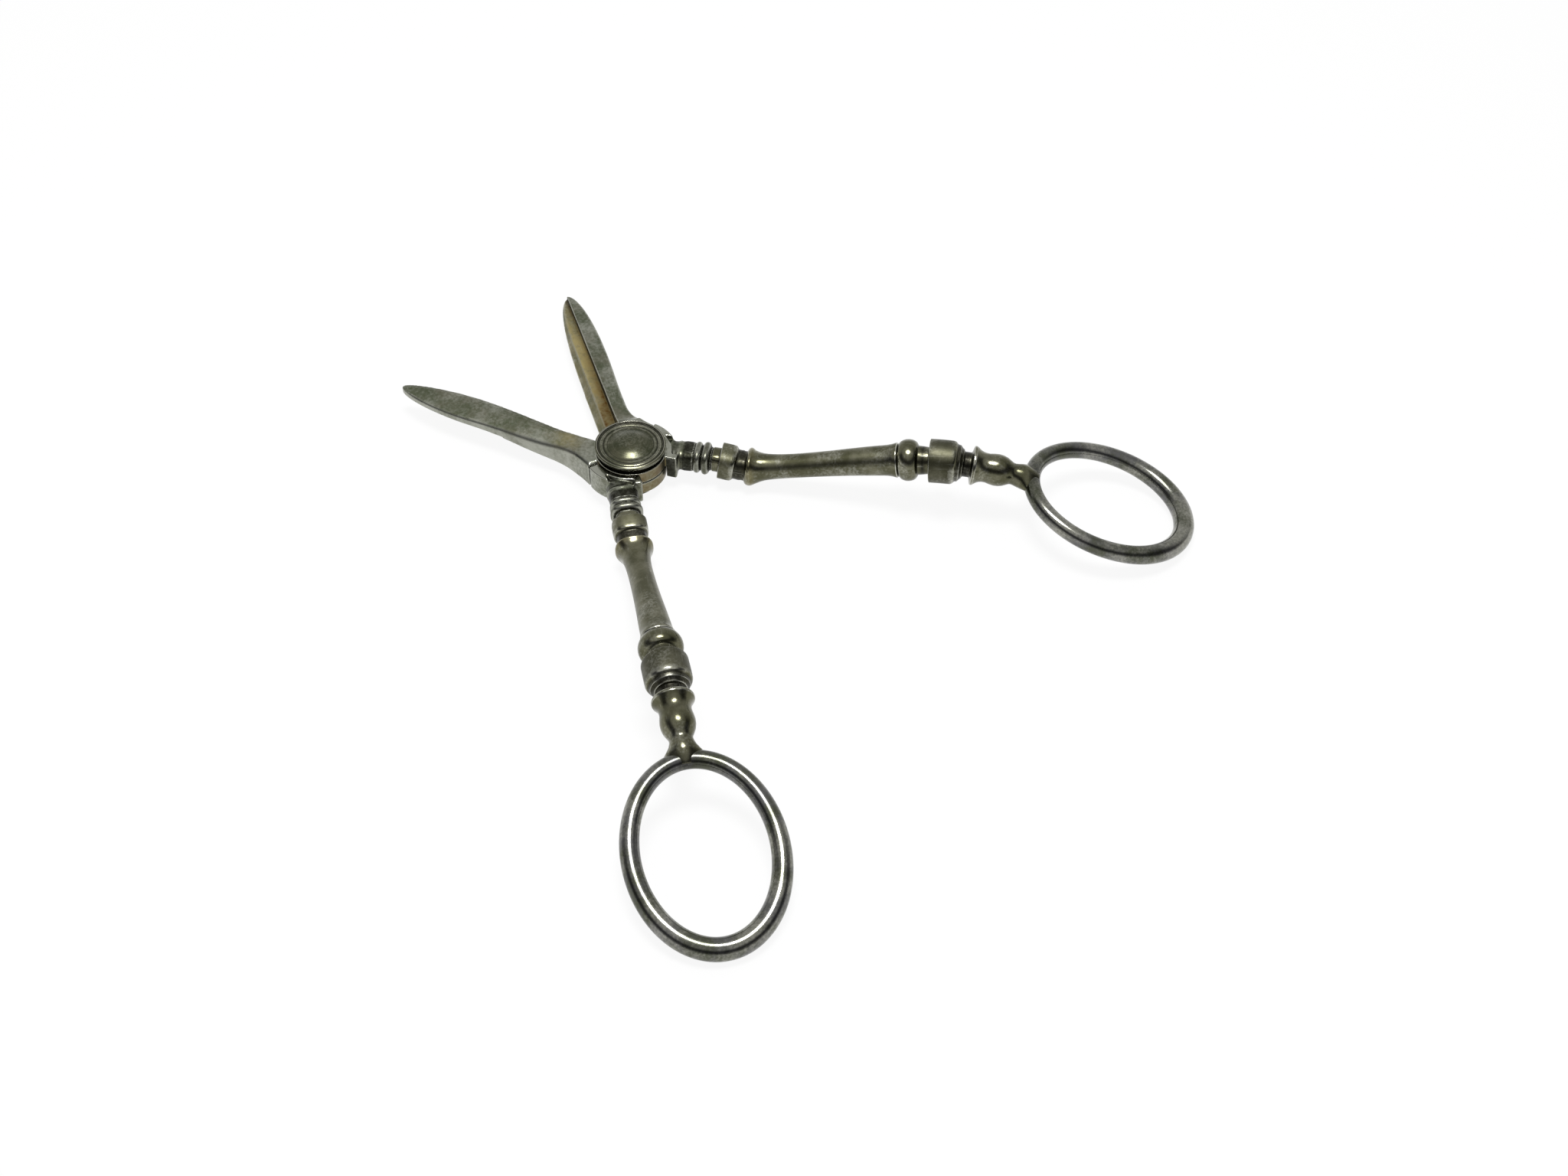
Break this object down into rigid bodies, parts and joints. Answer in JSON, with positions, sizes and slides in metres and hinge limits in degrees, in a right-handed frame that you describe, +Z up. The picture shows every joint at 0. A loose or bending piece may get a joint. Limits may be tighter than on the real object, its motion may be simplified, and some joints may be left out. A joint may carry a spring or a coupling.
{
  "type": "grape shears",
  "caption": "Scissor-like grape shears with rebated blades on a lap pivot, turned baluster stems and oval finger bows, lying open.",
  "frame": {"origin": "pivot axis at the rear nut's flat face, which lies on the table", "axes": "+Z up along the pivot axis, +Y towards the blades, the two stems mirrored about the YZ plane"},
  "size_m": [0.1508, 0.1486, 0.017],
  "materials": {
    "blade_upper": "worn satin silver plate",
    "blade_lower": "worn satin silver plate, base metal showing on the ledge",
    "stem_upper": "tarnished silver plate",
    "stem_lower": "tarnished silver plate",
    "bow_upper": "polished silver plate, tarnished",
    "bow_lower": "polished silver plate, tarnished",
    "pivot_screw": "tarnished silver plate with turned rings",
    "washers": "dull",
    "rear_nut": "tarnished silver plate"
  },
  "bodies": {
    "lever_lower": {"blade_lower": "blade_lower", "stem_lower": "stem_lower", "bow_lower": "bow_lower", "pivot_screw": "pivot_screw", "head_washer": "washers", "rear_washer": "washers", "rear_nut": "rear_nut"},
    "lever_upper": {"blade_upper": "blade_upper", "stem_upper": "stem_upper", "bow_upper": "bow_upper"}
  },
  "joints": [
    {"name": "pivot", "type": "hinge", "parent": "lever_lower", "child": "lever_upper", "pos_m": [0, 0, 0.0055], "axis": [0, 0, -1], "range_deg": [0, 48.5]}
  ]
}
